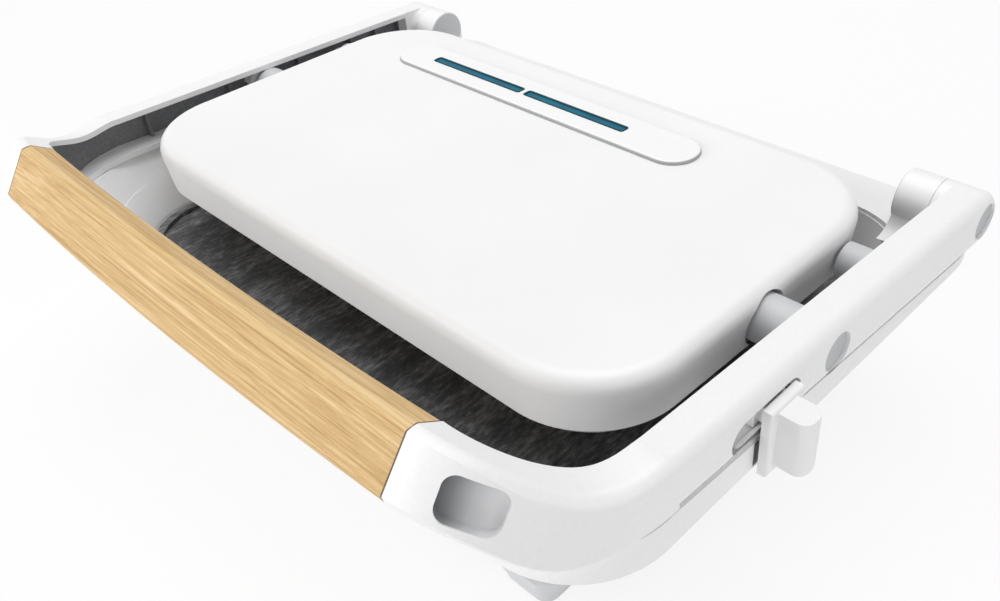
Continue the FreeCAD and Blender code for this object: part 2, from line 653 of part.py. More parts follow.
def step(angle, start, end):
    t = max(0.0, min((angle - start) / (end - start), 1.0))
    return t * t * (3 - 2 * t)


def climb(low, high, angle, start, end):
    return low + (high - low) * step(angle, start, end)


def upright_sketch(name, angle):
    sk = doc.addObject("Sketcher::SketchObject", name)
    p = math.radians(angle)
    m = FreeCAD.Matrix(math.cos(p), 0, -math.sin(p), n.grip_half,
                       -math.sin(p), 0, -math.cos(p), -AHEAD,
                       0, 1, 0, 0, 0, 0, 0, 1)
    sk.Placement = FreeCAD.Placement(m)
    return sk


def bend_section(name, angle):
    """Cross-section of the bend: top, soft shoulder, front face, nose and underside."""
    top = climb(TOP_END, n.inner_up, angle, 22, 90)
    p0 = (reach(ARM_IN, n.inner_out, angle), top)
    p1 = (reach(ARM_OUT - n.arm_shoulder, n.crest_out, angle),
          top + climb(0, n.crest_up - n.inner_up, angle, 30, 75))
    p2 = (reach(ARM_OUT, n.edge_out, angle),
          top + climb(-n.arm_shoulder, n.edge_up - n.inner_up, angle, 30, 75))
    p3 = (reach(ARM_OUT, n.nose_out, angle), climb(LOW_END + 1.4, n.nose_up, angle, 38, 84))
    p4 = (reach(ARM_OUT - 1, n.heel_out, angle), climb(LOW_END, n.heel_up, angle, 38, 84))
    p5 = (reach(ARM_IN, n.under_out, angle), climb(LOW_END, n.under_up, angle, 38, 84))
    long_ = math.hypot(p2[0] - p1[0], p2[1] - p1[1])
    bulge = climb(0.2929 * n.arm_shoulder, 0.25, angle, 20, 85)
    mid = ((p1[0] + p2[0]) / 2 - bulge * (p2[1] - p1[1]) / long_,
           (p1[1] + p2[1]) / 2 + bulge * (p2[0] - p1[0]) / long_)
    sk = upright_sketch(name, angle)
    sk.addGeometry(Part.LineSegment(V(*p0, 0), V(*p1, 0)))
    sk.addGeometry(Part.Arc(V(*p1, 0), V(*mid, 0), V(*p2, 0)))
    for a, b in ((p2, p3), (p3, p4), (p4, p5), (p5, p0)):
        sk.addGeometry(Part.LineSegment(V(*a, 0), V(*b, 0)))
    return sk


def channel_section(name, angle):
    """Hollow on the inner side of the bend, which goes on from the hollow of the arm."""
    w = n.arm_wall
    top = climb(TOP_END, n.inner_up, angle, 22, 90)
    low = climb(LOW_END, n.under_up, angle, 38, 84)
    tilt = climb(0, n.crest_up - n.inner_up, angle, 30, 75) / (n.crest_out - n.inner_out)
    back = ARM_OUT - w - 1.8 * step(angle, 0, 60)
    inner = reach(ARM_IN, n.inner_out, angle)
    under = reach(ARM_IN, n.under_out, angle)
    sk = upright_sketch(name, angle)
    polygon(sk, [(inner - 3, top - w - 3 * tilt), (back, top - w + (back - inner) * tilt),
                 (back + 3.4 * step(angle, 30, 90), low + w + 0.4 * step(angle, 30, 90)),
                 (under - 3.5, low + w)])
    return sk


def lofted(name, section, angles):
    obj = doc.addObject("Part::Loft", name)
    obj.Sections = [section("%s_cut_%d" % (name, k), angle) for k, angle in enumerate(angles)]
    obj.Solid = True
    obj.Ruled = False
    doc.recompute()
    return obj


TURN = (0.0, 15.0, 30.0, 45.0, 60.0, 75.0, 90.0)
outer_bend = lofted("bend_outer", bend_section, TURN)
inner_bend = lofted("bend_channel", channel_section, TURN)

# Thumb scoop on the front face of the bend, deepest at the end near the grip
scoop_at = V(n.grip_half + 22.3, -AHEAD - 53.8, 28.9)
along = V(0.772, 0.518, -0.363).normalize()
face = V(0.633, -0.618, 0.465)
rise = face.cross(along).normalize()
face = along.cross(rise)
scoop = prim("Box", "scoop_block", Length=n.scoop_long, Width=n.scoop_tall, Height=20)
scoop_soft = rounded_block("scoop_soft", scoop, n.scoop_corner, upright)
m = FreeCAD.Matrix(along.x, rise.x, face.x, scoop_at.x, along.y, rise.y, face.y, scoop_at.y,
                   along.z, rise.z, face.z, scoop_at.z, 0, 0, 0, 1)
shift = FreeCAD.Placement(V(-n.scoop_long / 2, -n.scoop_tall / 2, -n.scoop_deep),
                          FreeCAD.Rotation())
scoop_soft.Placement = FreeCAD.Placement(m).multiply(shift)

hub_boss = rod_x("hub_boss", n.ear_outer + 0.2, n.arm_inner + 2, 0, 0, n.hub_round)
rock_boss = rod_x("rock_boss", 166, n.arm_outer - 1, ROCK_Y, ROCK_Z, 9.2)
rib_list = []
for k, y in enumerate((-30, -48, -84, -128, -176)):
    low = -n.hub_round - TAPER * y + 1
    high = n.hub_round - SLOPE * y - 2.2
    rib_list.append(block("arm_rib_%d" % k, 168.5, n.arm_outer - 1.6, y - 0.8, y + 0.8, low, high))
solid = fuse("side_solid", arm, outer_bend, hub_boss, rock_boss, *rib_list)
hub_bore = rod_x("hub_bore", 150, 176, 0, 0, n.pin_round + 0.05)
hub_sink = rod_x("hub_sink", n.arm_outer - 4.5, 177, 0, 0, n.recess_round)
rock_bore = rod_x("rock_bore", 160, 176, ROCK_Y, ROCK_Z, 3.05)
rock_sink = rod_x("rock_sink", n.arm_outer - 4.5, 177, ROCK_Y, ROCK_Z, n.recess_round)
SCREW_X = n.grip_half + 4.2
CORE_Y = -AHEAD - n.inner_out - 11.5
core_slot = block("core_slot", 110, 133, CORE_Y - 3.9, CORE_Y + 3.9, 29.9, 36.1)
screw_sink = rod_z("screw_sink", SCREW_X, CORE_Y, 10, 27.2, 3.2)
screw_bore = rod_z("screw_bore", SCREW_X, CORE_Y, 10, 36, 1.55)
side_common = cut("side_common", solid, inner_bend, scoop_soft, hub_bore, hub_sink, rock_bore,
                  rock_sink, core_slot, screw_sink, screw_bore)
# Slot for the lock, only in the right arm
LOCK_Z = 6.2
slot_a = block("slot_mid", 170, 177, -161.5, -137.5, LOCK_Z - 4.5, LOCK_Z + 4.5)
slot_b = rod_x("slot_front", 170, 177, -161.5, LOCK_Z, 4.5)
slot_c = rod_x("slot_back", 170, 177, -137.5, LOCK_Z, 4.5)
sink_a = block("sink_mid", n.arm_outer - 1.2, 177, -161.5, -137.5, LOCK_Z - 6.6, LOCK_Z + 6.6)
sink_b = rod_x("sink_front", n.arm_outer - 1.2, 177, -161.5, LOCK_Z, 6.6)
sink_c = rod_x("sink_back", n.arm_outer - 1.2, 177, -137.5, LOCK_Z, 6.6)
node(cut("frame_side_right", side_common, fuse("lock_slots", slot_a, slot_b, slot_c, sink_a,
                                               sink_b, sink_c)), "frame_side_right", AT_HUB)
node(mirrored("frame_side_left", side_common), "frame_side_left", AT_HUB)

# Wooden grip: its cross-section swept on a wide arc, so that the bar bows to the front
ARC = (n.grip_half ** 2 + n.grip_bow ** 2) / (2 * n.grip_bow)
MID = -AHEAD - n.inner_out - n.grip_bow
SWING = 2 * math.degrees(math.asin((n.grip_half + 8) / ARC))


def arc_sketch(b, name, points):
    sk = new_sketch(b, "YZ_Plane", name)
    polygon(sk, points)
    g = sk.addGeometry(Part.LineSegment(V(MID + ARC, -50, 0), V(MID + ARC, 150, 0)), True)
    return sk


def swept(b, sk, kind, angle, name):
    f = b.newObject("PartDesign::" + kind, name)
    f.Profile = sk
    axis = [k for k, flag in enumerate(sk.Geometry)][-1]
    f.ReferenceAxis = (sk, ["Axis0"])
    f.Midplane = True
    f.Angle = angle
    doc.recompute()
    return f


grip = body("grip_bar")
sk = arc_sketch(grip, "grip_section",
                [(MID, n.inner_up), (MID + n.inner_out - n.crest_out, n.crest_up),
                 (MID + n.inner_out - n.edge_out, n.edge_up),
                 (MID + n.inner_out - n.nose_out, n.nose_up),
                 (MID + n.inner_out - n.heel_out, n.heel_up),
                 (MID + n.inner_out - n.under_out, n.under_up)])
last = swept(grip, sk, "Revolution", SWING, "grip_sweep")


def lengthwise(e):
    return e.BoundBox.XLength > 200


last = fillet(grip, last, "1.4", lengthwise, "grip_soft_edges")
sk = arc_sketch(grip, "grip_groove_section",
                [(MID - 9.0, 30.0), (MID - 9.0, 36.0), (MID - 15.0, 36.0), (MID - 15.0, 30.0)])
swept(grip, sk, "Groove", SWING + 1, "grip_groove")
sk = new_sketch(grip, "XZ_Plane", "grip_ends")
for side in (-1, 1):
    a = side * n.grip_half
    b2 = side * (n.grip_half + 25)
    polygon_pts = [(min(a, b2), 0), (max(a, b2), 0), (max(a, b2), 70), (min(a, b2), 70)]
    polygon(sk, polygon_pts)
pocket(grip, sk, through=True, name="grip_ends_cut")
node(grip, "grip_bar", AT_HUB)
core = body("grip_core")
sk = arc_sketch(core, "core_section",
                [(MID - 9.3, 30.3), (MID - 9.3, 35.7), (MID - 14.7, 35.7), (MID - 14.7, 30.3)])
swept(core, sk, "Revolution", 2 * math.degrees(math.asin((n.grip_half + 6.2) / ARC)),
      "core_sweep")
sk = new_sketch(core, "XY_Plane", "core_holes", "20")
for side in (-1, 1):
    circle(sk, side * SCREW_X, CORE_Y, 1.55, str(side * SCREW_X), str(CORE_Y), "1.55")
pocket(core, sk, "30", down=False, name="core_holes_cut")
node(core, "grip_core", AT_HUB)
for tag, side in (("left", -1), ("right", 1)):
    head = rod_z("grip_screw_head_" + tag, side * SCREW_X, CORE_Y, 25.0, 27.1, 2.9)
    stem = rod_z("grip_screw_stem_" + tag, side * SCREW_X, CORE_Y, 27.0, 35.0, 1.5)
    node(fuse("grip_screw_" + tag, head, stem), "grip_screw_" + tag, AT_HUB)

# Rocker journals between the arms and the lid
for tag, side in (("left", -1), ("right", 1)):
    def span(x0, x1):
        return (x0, x1) if side > 0 else (-x1, -x0)
    parts = []
    for k, (x0, x1, rad) in enumerate(((129, 143.2, n.pin_round), (143, 160.2, n.rocker_round),
                                       (160, 166, 7.0))):
        p0, p1 = span(x0, x1)
        parts.append(rod_x("journal_%s_%d" % (tag, k), p0, p1, ROCK_Y, ROCK_Z, rad))
    p0, p1 = span(150, 167)
    tap = rod_x("journal_tap_" + tag, p0, p1, ROCK_Y, ROCK_Z, 3.0)
    node(cut("rocker_journal_" + tag, fuse("journal_all_" + tag, *parts), tap),
         "rocker_journal_" + tag, AT_HUB)
    p0, p1 = span(151, 170.6)
    shank = rod_x("rock_bolt_shank_" + tag, p0, p1, ROCK_Y, ROCK_Z, 2.95)
    p0, p1 = span(170.5, 172.6)
    head = rod_x("rock_bolt_head_" + tag, p0, p1, ROCK_Y, ROCK_Z, 6.4)
    p0, p1 = span(171.6, 173)
    cross_a = block("rock_cross_a_" + tag, p0, p1, ROCK_Y - 3.2, ROCK_Y + 3.2, ROCK_Z - 0.7,
                    ROCK_Z + 0.7)
    cross_b = block("rock_cross_b_" + tag, p0, p1, ROCK_Y - 0.7, ROCK_Y + 0.7, ROCK_Z - 3.2,
                    ROCK_Z + 3.2)
    node(cut("rocker_bolt_" + tag, fuse("rock_bolt_all_" + tag, shank, head), cross_a, cross_b),
         "rocker_bolt_" + tag, AT_HUB)

# Lid housing, drawn about its rocker axis
lid = body("lid_housing")
sk = new_sketch(lid, "XY_Plane", "lid_outline", S + "lid_top")
outline(sk, S + "lid_width", S + "lid_depth", S + "lid_corner")
last = pad(lid, sk, S + "lid_tall", draft="-" + S + "lid_draft", down=True, name="lid_block")
if last.Shape.BoundBox.XLength > n.lid_width + 0.5:
    last.setExpression("TaperAngle", S + "lid_draft")
    doc.recompute()
last = fillet(lid, last, S + "lid_edge", flat_at(n.lid_top), "lid_soft_edge")
sk = new_sketch(lid, "XY_Plane", "lid_room", S + "lid_top - " + S + "lid_tall")
outline(sk, S + "lid_width", S + "lid_depth", S + "lid_corner", "0",
        "-5.5 - " + S + "lid_wall + 0.1")
pocket(lid, sk, S + "lid_tall - " + S + "lid_wall", down=False, name="lid_room_cut")
sk = new_sketch(lid, "YZ_Plane", "lid_rocker_holes")
circle(sk, 0, 0, n.rocker_hole, "0", "0", S + "rocker_hole")
pocket(lid, sk, through=True, name="lid_rocker_cut")
doc.recompute()
node(lid, "lid_housing", AT_ROCK, -n.lid_lean)

# Upper plate with ribs that run from front to back
up = body("upper_plate")
sk = new_sketch(up, "XY_Plane", "upper_outline", "-6")
outline(sk, S + "lid_width", S + "lid_depth", S + "lid_corner", "0",
        "-5.5 - " + S + "lid_wall - " + S + "slack")
pad(up, sk, "9", down=True, name="upper_slab")
sk = new_sketch(up, "XY_Plane", "upper_rib", "-15")
rounded(sk, 5, 134, 2.4, -120, 0, {"wide": "5", "deep": "134", "rad": "2.4", "mid_x": "-120"})
rib = pad(up, sk, "3.2", down=True, name="upper_rib_bar")
rows = up.newObject("PartDesign::LinearPattern", "upper_ribs")
rows.Originals = [rib]
rows.Direction = (plane_of(up, "X_Axis"), [""])
rows.Length = 240
rows.Occurrences = 17
up.Tip = rows
doc.recompute()
node(up, "upper_plate", AT_ROCK, -n.lid_lean)
node(heater("upper_heater", 110, 110, -2.7, 0, 0), "upper_heater", AT_ROCK, -n.lid_lean)
shield = block("shield_plate", -120, 120, -70, 70, 3, 3.8)
lip_l = block("shield_lip_l", -120, -119.2, -70, 70, -5.9, 3.8)
lip_r = block("shield_lip_r", 119.2, 120, -70, 70, -5.9, 3.8)
node(fuse("heat_shield", shield, lip_l, lip_r), "heat_shield", AT_ROCK, -n.lid_lean)
for tag, side in (("left", -1), ("right", 1)):
    def span(x0, x1):
        return (x0, x1) if side > 0 else (-x1, -x0)
    p0, p1 = span(129.5, 139.5)
    blk = block("bearing_block_" + tag, p0, p1, -12, 12, -5.9, 10.8)
    p0, p1 = span(120, 150)
    bore = rod_x("bearing_bore_" + tag, p0, p1, 0, 0, n.pin_round + n.running / 2)
    node(cut("rocker_bearing_" + tag, blk, bore), "rocker_bearing_" + tag, AT_ROCK,
         -n.lid_lean)
    p0, p1 = span(148.1, 159.6)
    big = rod_x("stub_big_" + tag, p0, p1, n.stub_back, -1.0, n.stub_round)
    p0, p1 = span(159.5, 168)
    thin = rod_x("stub_thin_" + tag, p0, p1, n.stub_back, -1.0, 3.4)
    node(fuse("lid_stop_pin_" + tag, big, thin), "lid_stop_pin_" + tag, AT_ROCK, -n.lid_lean)

# Raised strip with two lamp bars
strip = body("lamp_strip")
long_ = n.strip_left + n.strip_right
mid = (n.strip_right - n.strip_left) / 2
sk = new_sketch(strip, "XY_Plane", "strip_outline", S + "lid_top")
outline(sk, S + "strip_left + " + S + "strip_right", S + "strip_deep",
        S + "strip_deep / 2 - 0.2", S + "strip_mid", "0",
        "(" + S + "strip_right - " + S + "strip_left) / 2")
last = pad(strip, sk, S + "strip_tall", name="strip_slab")
last = fillet(strip, last, "1.2", flat_at(n.lid_top + n.strip_tall), "strip_soft_edge")
sk = new_sketch(strip, "XY_Plane", "strip_windows", S + "lid_top")
half = n.lens_long + n.lens_gap
for side in (-1, 1):
    x = -n.lens_mid + side * (n.lens_long + n.lens_gap) / 2
    rounded(sk, n.lens_long, n.lens_wide, 1.6, x, n.strip_mid,
            {"wide": S + "lens_long", "deep": S + "lens_wide", "rad": "1.6",
             "mid_x": "%d * (%slens_long + %slens_gap) / 2 - %slens_mid" % (side, S, S, S),
             "mid_y": S + "strip_mid"})
pocket(strip, sk, "10", down=False, name="strip_windows_cut")
doc.recompute()
node(strip, "lamp_strip", AT_ROCK, -n.lid_lean)
for tag, side in (("left", -1), ("right", 1)):
    lens = body("lamp_lens_" + tag)
    sk = new_sketch(lens, "XY_Plane", "lens_outline_" + tag, S + "lid_top")
    x = -n.lens_mid + side * (n.lens_long + n.lens_gap) / 2
    rounded(sk, n.lens_long - 0.2, n.lens_wide - 0.2, 1.5, x, n.strip_mid,
            {"wide": S + "lens_long - 0.2", "deep": S + "lens_wide - 0.2", "rad": "1.5",
             "mid_x": "%d * (%slens_long + %slens_gap) / 2 - %slens_mid" % (side, S, S, S),
             "mid_y": S + "strip_mid"})
    pad(lens, sk, S + "strip_tall + 0.2", name="lens_bar_" + tag)
    node(lens, "lamp_lens_" + tag, AT_ROCK, -n.lid_lean)
board = block("board_sheet", -92, 45, 46, 62, 5.6, 7.2)
pegs = [rod_z("board_peg_%d" % k, x, 54, 7.1, n.lid_top - n.lid_wall, 2.5)
        for k, x in enumerate((-86, 39))]
node(fuse("lamp_board", board, *pegs), "lamp_board", AT_ROCK, -n.lid_lean)

# Side lock: a plate with a grip outside the right arm, a tongue and a guide stem
face_x = n.arm_outer + 0.3
lock_plate = block("lock_plate", face_x, 179, -153.2, -135.2, -16.4, 11.8)
lock_soft = rounded_block("lock_plate_soft", lock_plate, 1.2,
                          lambda e: e.BoundBox.XMin > 178.9)
lock_grip = block("lock_grip", 178.5, 189.5, -150.2, -139.7, -12.2, 10.6)


def grip_end(e):
    return upright(e) and e.BoundBox.XMin > 189


lock_grip_soft = rounded_block("lock_grip_soft", lock_grip, 4, grip_end)
tongue = block("lock_tongue", 167.5, face_x + 1, -143.4, -135.6, -13.4, -5)
stem = block("lock_stem", 169, face_x + 1, -150, -139.5, LOCK_Z - 3.2, LOCK_Z + 3.2)
keeper = block("lock_keeper", 168.4, 171.9, -152, -138, LOCK_Z - 4.9, LOCK_Z + 6.3)
node(fuse("side_lock", lock_soft, lock_grip_soft, tongue, stem, keeper), "side_lock", AT_HUB)

# Checks and export
doc.recompute()
for obj in doc.Objects:
    if "Invalid" in obj.State or "Error" in obj.State:
        raise RuntimeError("not built: " + obj.Name + " " + str(obj.State))
os.makedirs("parts", exist_ok=True)
for obj in NODES:
    if obj.Shape.isNull() or not obj.Shape.isValid() or obj.Shape.Volume <= 0:
        raise RuntimeError("bad shape: " + obj.Label)
    obj.Shape.exportStep("parts/%s.step" % obj.Label)
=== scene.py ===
import math

import bmesh
import bpy
from mathutils import Matrix, Vector


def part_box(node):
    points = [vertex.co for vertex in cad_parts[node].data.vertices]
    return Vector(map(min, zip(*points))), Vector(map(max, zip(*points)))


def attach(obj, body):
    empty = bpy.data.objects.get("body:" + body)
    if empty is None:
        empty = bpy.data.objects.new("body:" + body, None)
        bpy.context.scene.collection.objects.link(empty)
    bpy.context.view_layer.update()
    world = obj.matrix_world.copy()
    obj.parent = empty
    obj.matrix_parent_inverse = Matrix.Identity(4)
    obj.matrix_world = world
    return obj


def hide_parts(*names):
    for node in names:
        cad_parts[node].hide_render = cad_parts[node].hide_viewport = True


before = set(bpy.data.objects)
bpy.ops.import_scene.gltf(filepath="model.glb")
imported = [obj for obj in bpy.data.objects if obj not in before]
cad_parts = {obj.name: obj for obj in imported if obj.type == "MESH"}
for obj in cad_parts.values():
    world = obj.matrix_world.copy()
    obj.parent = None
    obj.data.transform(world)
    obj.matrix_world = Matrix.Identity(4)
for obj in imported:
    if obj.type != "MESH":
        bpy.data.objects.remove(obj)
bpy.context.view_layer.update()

# Places that pieces and finishes share, in metres
MIDDLE_X = -0.0072
HUB = (0.11825, 0.0976)
ROCKER = (0.00985, 0.1029)


# Colours are written as sRGB hex and turned to linear here
def linear(hex_text):
    channels = []
    for start in (1, 3, 5):
        value = int(hex_text[start:start + 2], 16) / 255
        low = value / 12.92
        high = ((value + 0.055) / 1.055) ** 2.4
        channels.append(low if value <= 0.04045 else high)
    return (*channels, 1.0)


def feed(tree, node, inputs):
    """Give each socket its value, or link it to the output, or the first output of the node."""
    for socket, value in inputs.items():
        if isinstance(value, bpy.types.Node):
            value = value.outputs[0]
        if isinstance(value, bpy.types.NodeSocket):
            tree.links.new(value, node.inputs[socket])
        else:
            node.inputs[socket].default_value = value


def add(tree, kind, *inputs, stops=(), named=None, **settings):
    """Add one node: inputs in their order or by name, settings, and the stops of a colour ramp.

    A MapRange takes a value, the low and high that it comes from, and those that it goes to.
    A colour Mix has its mask at input 0, its colours at 6 and 7, and its result at output 2.
    """
    made = tree.nodes.new("ShaderNode" + kind)
    for name, value in settings.items():
        setattr(made, name, value)
    feed(tree, made, dict(enumerate(inputs)))
    feed(tree, made, named or {})
    if stops:
        elements = made.color_ramp.elements
        while len(elements) < len(stops):
            elements.new(0.5)
        for element, (place, colour) in zip(elements, stops):
            element.position = place
            element.color = linear(colour)
    return made


def new_material(name, **surface):
    made = bpy.data.materials.new(name)
    made.use_nodes = True
    tree = made.node_tree
    shader = tree.nodes["Principled BSDF"]
    feed(tree, shader, {socket.replace("_", " "): value for socket, value in surface.items()})
    return made, tree, shader


def every(tree, *tests):
    """A mask that is 1 where all of the masks given are 1."""
    mask = tests[0]
    for test in tests[1:]:
        mask = add(tree, "Math", mask, test, operation="MULTIPLY")
    return mask


def within(tree, value, limit):
    """A mask that is 1 where the value lies less than the limit from 0, either way."""
    size = add(tree, "Math", value, operation="ABSOLUTE")
    return add(tree, "Math", size, limit, operation="LESS_THAN")


# Noise scales count grains to the metre: 1400 is a grain of 0.7 mm
def moulded(name, light, dark, roughness, grit, depth):
    made, tree, shader = new_material(name, IOR=1.53)
    place = add(tree, "TexCoord").outputs["Object"]
    cloud = add(tree, "TexNoise", place, named={"Scale": 14.0, "Detail": 3.0})
    fine = add(tree, "TexNoise", place, named={"Scale": grit, "Detail": 2.0})
    feed(tree, shader, {
        "Base Color": add(tree, "ValToRGB", cloud, stops=((0.3, dark), (0.7, light))),
        "Roughness": add(tree, "MapRange", fine, 0.3, 0.7, roughness - 0.05, roughness + 0.05),
        "Normal": add(tree, "Bump", named={"Height": fine, "Strength": depth, "Distance": 0.0002}),
    })
    return made


# White ABS, injection moulded with a fine satin grain: soft, wide highlights
white_abs = moulded("satin_white_abs", "#F6F6F6", "#F2F2F3", 0.42, 1400.0, 0.12)

# Grey nylon over the heads of pins and bolts, dull and slightly grainy
nylon_grey = moulded("dull_grey_nylon", "#A9AAAC", "#9FA0A2", 0.55, 1300.0, 0.2)

# Paler nylon of the journals, the hinge pins and the plugs: the same, a little less dull, its grey
# being painted shade on these white parts
nylon_painted_shade = moulded("pale_grey_nylon_painted_shade", "#D2D3D4", "#CACBCD", 0.5, 1300.0, 0.2)
# The plugs' nylon is greyer again: partly their own grey, partly painted shade of the recesses
# they close
nylon_plug_with_painted_shade = moulded("light_grey_nylon_painted_shade", "#C4C5C7", "#BCBDBF", 0.5, 1300.0, 0.2)

# Light grey ABS of the feet: the same grain as the white, a little duller
grey_abs = moulded("moulded_grey_abs", "#DCDDDF", "#D4D5D8", 0.5, 1200.0, 0.15)

# Grey polypropylene of the drip tray: waxy and slightly cloudy
grey_pp = moulded("waxy_grey_polypropylene", "#A9ABAE", "#9EA0A4", 0.45, 700.0, 0.2)

# Silicone rubber of the foot pads: matt, with a dusty grain
silicone = moulded("matt_silicone_rubber", "#4A4B4D", "#3F4042", 0.72, 1600.0, 0.3)

# Glass-filled nylon of terminals and clips: near black, dry sheen
nylon_black = moulded("black_filled_nylon", "#26272A", "#1D1E20", 0.55, 1500.0, 0.3)

# Circuit board: green lacquer over woven glass
board = moulded("green_lacquered_board", "#2E6B45", "#255C3A", 0.35, 900.0, 0.1)


def shell_start(name):
    """A white ABS whose colour is still open, with its place, its facing and its grain."""
    made, tree, shader = new_material(name, IOR=1.53)
    coords = add(tree, "TexCoord")
    grain = add(tree, "TexNoise", coords.outputs["Object"], named={"Scale": 700.0, "Detail": 3.0})
    feed(tree, shader, {"Roughness": add(tree, "MapRange", grain, 0.3, 0.7, 0.38, 0.48)})
    place = add(tree, "SeparateXYZ", coords.outputs["Object"])
    facing = add(tree, "SeparateXYZ", coords.outputs["Normal"])
    return made, tree, shader, place, facing, grain


def shell_white(tree, grain):
    return add(tree, "ValToRGB", grain, stops=((0.3, "#F2F2F3"), (0.7, "#F5F5F5")))


# The upright axis of each bend of the frame: out from the middle plane, and in Y
BEND_OUT = 0.125
BEND_Y = -0.07545

# How far out from that axis the painted shade inside the hollow, a grey liner colour, starts and
# stops
LINER_PAINTED_SHADE_RANGE = (0.043, 0.0494)

# Round the axes of the hinge and the rocker the arm stays white, without painted shade, out to
# these distances
WHITE_ROUND = ((HUB, 0.0125), (ROCKER, 0.0079))

# The thumb scoop: where its mouth is, out from the middle plane and in Y and Z, its directions
# along, across and out of the mouth, its half length and half height, its mouth and floor
# along the way out, and how far from its middle its painted shade reaches
SCOOP_AT = (0.1473, -0.12925, 0.1265)
SCOOP_ALONG = (0.7735, 0.519, -0.3637)
SCOOP_ACROSS = (0.0165, -0.582, -0.813)
SCOOP_OUT = (0.633, -0.618, 0.465)
SCOOP_HALF_LONG = 0.0101
SCOOP_HALF_TALL = 0.0077
SCOOP_MOUTH = -0.0004
SCOOP_FLOOR = -0.0068
SCOOP_SHADE = 0.0098


def frame_look_with_painted_shade():
    # White ABS of the frame. The inside of the hollow arms is coloured dark grey as painted shade,
    # up to just short of the lips of the hollow
    made, tree, shader, place, facing, grain = shell_start("white_abs_with_painted_shade_inside")
    from_middle = add(tree, "Math", place.outputs["X"], -MIDDLE_X, operation="ADD")
    from_middle = add(tree, "Math", from_middle, operation="ABSOLUTE")
    out = add(tree, "Math", from_middle, BEND_OUT, operation="SUBTRACT")
    ahead = add(tree, "Math", place.outputs["Y"], BEND_Y, operation="SUBTRACT")
    ahead = add(tree, "Math", ahead, 0.0, operation="MINIMUM")
    reach = add(tree, "VectorMath", add(tree, "CombineXYZ", out, ahead), operation="LENGTH")
    tests = [
        within(tree, facing.outputs["Z"], 0.25),
        add(tree, "Math", reach.outputs["Value"], LINER_PAINTED_SHADE_RANGE[0], operation="GREATER_THAN"),
        add(tree, "Math", reach.outputs["Value"], LINER_PAINTED_SHADE_RANGE[1], operation="LESS_THAN"),
    ]
    flat = add(tree, "CombineXYZ", 0.0, place.outputs["Y"], place.outputs["Z"])
    for axis, radius in WHITE_ROUND:
        away = add(tree, "VectorMath", flat, (0.0, *axis), operation="DISTANCE")
        tests.append(add(tree, "Math", away.outputs["Value"], radius, operation="GREATER_THAN"))
    # Painted shade: the dark grey that stands for the shade inside the hollow arms
    painted_liner_shade = add(tree, "ValToRGB", grain, stops=((0.3, "#6A6B6D"), (0.7, "#7F8082")))
    lined = add(tree, "Mix", data_type="RGBA",
                named={0: every(tree, *tests), 6: shell_white(tree, grain), 7: painted_liner_shade})

    # The thumb scoop is matt too, and has painted shade: its colour darkens towards the grip,
    # where it is in shade
    folded = add(tree, "CombineXYZ", from_middle, place.outputs["Y"], place.outputs["Z"])
    spot = add(tree, "VectorMath", folded, SCOOP_AT, operation="SUBTRACT")
    length, height, depth = (
        add(tree, "VectorMath", spot, direction, operation="DOT_PRODUCT").outputs["Value"]
        for direction in (SCOOP_ALONG, SCOOP_ACROSS, SCOOP_OUT))
    inside = every(
        tree,
        within(tree, length, SCOOP_HALF_LONG),
        within(tree, height, SCOOP_HALF_TALL),
        add(tree, "Math", depth, SCOOP_MOUTH, operation="LESS_THAN"),
        add(tree, "Math", depth, SCOOP_FLOOR, operation="GREATER_THAN"))
    share = add(tree, "MapRange", length, -SCOOP_SHADE, SCOOP_SHADE, 0.0, 1.0)
    # Painted shade of the scoop: dark at the grip end, white at the other
    shade = add(tree, "ValToRGB", share,
                stops=((0.0, "#727375"), (0.2, "#97989A"), (0.5, "#D3D4D5"), (0.85, "#F2F2F3")))
    both = add(tree, "Mix", named={0: inside, 6: lined.outputs[2], 7: shade}, data_type="RGBA")
    feed(tree, shader, {"Base Color": both.outputs[2]})
    return made


# Top edge of the rim: level in front, and falling to the rear behind that. The grey line of
# painted shadow below it is this tall, and runs from the front to this Y
RIM_LEVEL = 0.0978
RIM_FALL = -0.062
RIM_AT_ZERO = 0.09314
RIM_SHADOW_LINE_TALL = 0.0017
RIM_SHADOW_LINE_BACK = -0.03


def rim_look():
    # White ABS of the rim, with a grey line of painted shadow below its top edge in front, where
    # the arms meet it
    made, tree, shader, place, facing, grain = shell_start("white_abs_with_painted_shadow_line")
    edge = add(tree, "Math", place.outputs["Y"], RIM_FALL, RIM_AT_ZERO, operation="MULTIPLY_ADD")
    edge = add(tree, "Math", edge, RIM_LEVEL, operation="MINIMUM")
    start = add(tree, "Math", edge, RIM_SHADOW_LINE_TALL, operation="SUBTRACT")
    mask = every(
        tree,
        add(tree, "Math", place.outputs["Z"], start, operation="GREATER_THAN"),
        within(tree, facing.outputs["Z"], 0.2),
        add(tree, "Math", place.outputs["Y"], RIM_SHADOW_LINE_BACK, operation="LESS_THAN"))
    # Painted shadow: grey just below the rim's top edge, under the arms
    line = add(tree, "ValToRGB", grain, stops=((0.3, "#BDBEC0"), (0.7, "#C5C6C8")))
    both = add(tree, "Mix", named={0: mask, 6: shell_white(tree, grain), 7: line},
               data_type="RGBA")
    feed(tree, shader, {"Base Color": both.outputs[2]})
    return made


def strip_look():
    # White ABS of the lamp strip: its low side walls are coloured grey as painted shade
    made, tree, shader, _, facing, _ = shell_start("white_abs_with_painted_shade_sides")
    # Painted shade: grey where the face turns away from up, white on top
    tone = add(tree, "MapRange", facing.outputs["Z"], 0.55, 0.9, 0.0, 1.0)
    tint = add(tree, "ValToRGB", tone, stops=((0.0, "#9FA0A2"), (1.0, "#F5F5F5")))
    feed(tree, shader, {"Base Color": tint})
    return made


